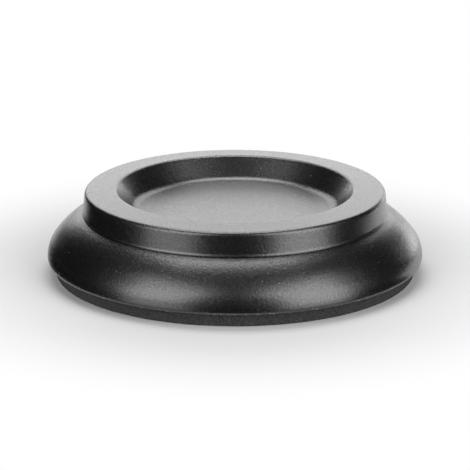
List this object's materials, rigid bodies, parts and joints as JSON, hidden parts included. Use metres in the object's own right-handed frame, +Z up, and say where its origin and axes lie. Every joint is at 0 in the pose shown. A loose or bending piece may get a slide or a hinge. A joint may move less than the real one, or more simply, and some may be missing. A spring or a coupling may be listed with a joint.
{
  "type": "castor cup",
  "caption": "Round turned-wood castor cup with a rolled bulge, a lipped collar, a shallow dished recess for a furniture castor and a foam pad glued underneath.",
  "frame": {"origin": "centre of the foam pad's underside, on the turning axis", "axes": "+Z up along the turning axis, out of the recess; X and Y are free, because the part is round"},
  "size_m": [0.097, 0.097, 0.0219],
  "materials": {
    "lacquered_wood": "black satin lacquer over fine straight grain",
    "foam": "matte closed-cell foam with a fine granular cut edge"
  },
  "bodies": {
    "root": {"turned_cup": "lacquered_wood", "foam_pad": "foam"}
  },
  "joints": []
}
